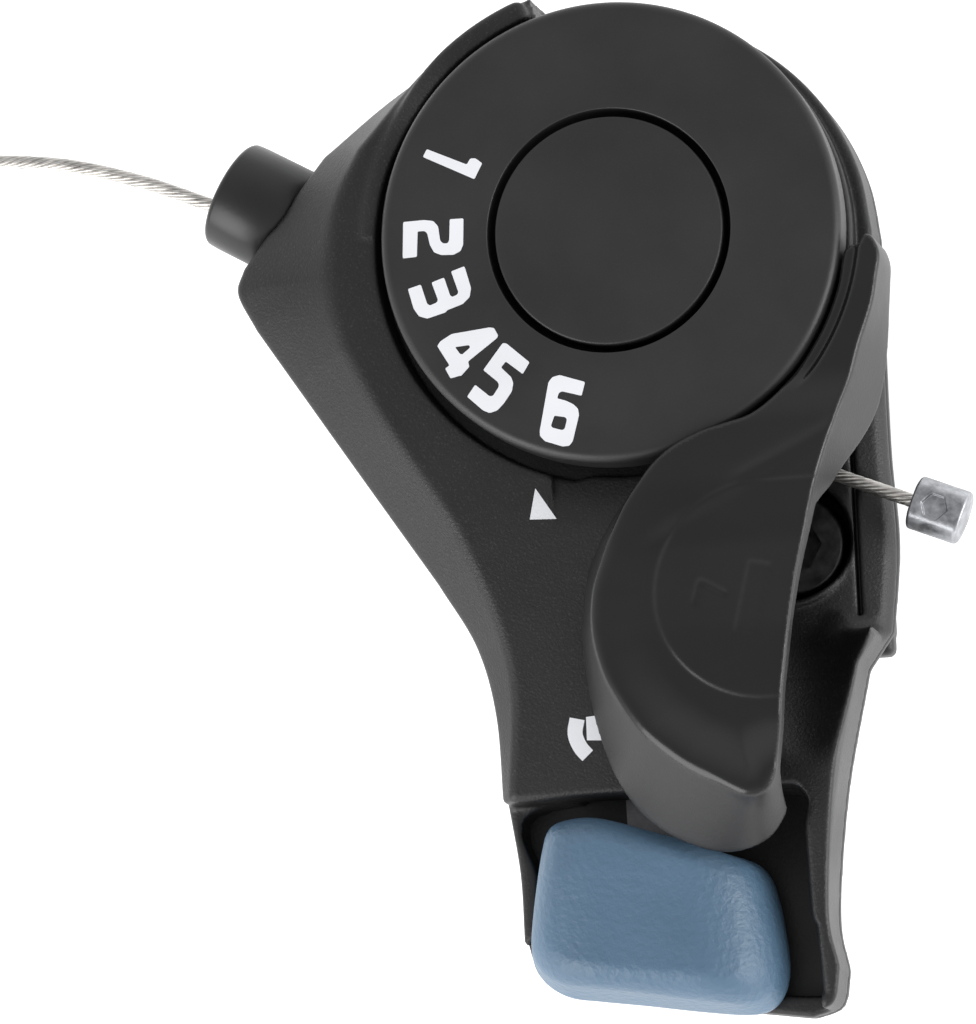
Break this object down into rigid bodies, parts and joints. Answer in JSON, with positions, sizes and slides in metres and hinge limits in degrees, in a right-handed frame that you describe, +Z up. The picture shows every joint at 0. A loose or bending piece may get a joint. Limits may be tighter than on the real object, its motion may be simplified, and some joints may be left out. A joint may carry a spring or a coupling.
{
  "type": "thumb shifter",
  "caption": "Right-hand thumb shifter: a numbered dial and thumb lever wind a cable drum, and a sideways release button lets it back, on a bolted handlebar clamp.",
  "frame": {"origin": "centre of the handlebar clamp's bore", "axes": "+X along the handlebar towards the grip, +Y forward, away from the rider, +Z up along the dial's axis"},
  "size_m": [0.0872, 0.0853, 0.0445],
  "materials": {
    "housing_plastic": "fine-textured black glass-filled nylon",
    "lever_plastic": "black nylon, smooth on top and textured on its skirt",
    "dial_plastic": "charcoal, fine grain, white printed numbers",
    "button_plastic": "blue-grey, leather-like grain",
    "drum_plastic": "black acetal",
    "fastener_steel": "zinc plated",
    "works_steel": "stamped steel, oiled",
    "spring_steel": "spring wire and clips",
    "bush_brass": "plain",
    "cable_steel": "stranded wire",
    "nipple_metal": "dull zinc casting"
  },
  "bodies": {
    "housing": {"clamp_bracket": "housing_plastic", "housing_cover": "housing_plastic", "cable_casing_stop": "housing_plastic", "clamp_bolt": "fastener_steel", "clamp_nut": "fastener_steel", "housing_screws": "fastener_steel", "pivot_axle": "works_steel", "pivot_screw": "fastener_steel", "pivot_washer": "fastener_steel", "pawl_pin": "works_steel", "release_pin": "works_steel", "retaining_clips": "spring_steel", "pawl_spring": "spring_steel", "release_spring": "spring_steel"},
    "lever": {"drum_bush": "bush_brass", "cable_drum": "drum_plastic", "ratchet_plate": "works_steel", "thumb_lever": "lever_plastic", "dial_disc": "dial_plastic", "centre_cap": "dial_plastic"},
    "pawl": {"holding_pawl": "works_steel"},
    "release": {"release_arm": "works_steel", "release_button": "button_plastic"},
    "cable": {"inner_cable": "cable_steel", "cable_nipple": "nipple_metal"}
  },
  "joints": [
    {"name": "lever_turn", "type": "hinge", "parent": "housing", "child": "lever", "pos_m": [-0.0118, 0.01, 0.018], "axis": [0, 0, 1], "range_deg": [0, 100.4], "deforming": ["inner_cable"]},
    {"name": "release_swing", "type": "hinge", "parent": "housing", "child": "release", "pos_m": [-0.0133, -0.02, 0.0145], "axis": [0, 0, 1], "range_deg": [0, 3.2], "deforming": ["release_spring"]},
    {"name": "pawl_swing", "type": "hinge", "parent": "housing", "child": "pawl", "pos_m": [-0.024, -0.0022, 0.0145], "axis": [0, 0, 1], "range_deg": [-9.3, 0], "deforming": ["pawl_spring"]},
    {"name": "cable_feed", "type": "slide", "parent": "housing", "child": "cable", "axis": [-0.9205, 0.3907, 0], "range_m": [0, 0.012], "deforming": ["inner_cable"]}
  ],
  "couplings": [
    {"joint": "pawl_swing", "follows": "release_swing", "ratio": -2.9}
  ]
}
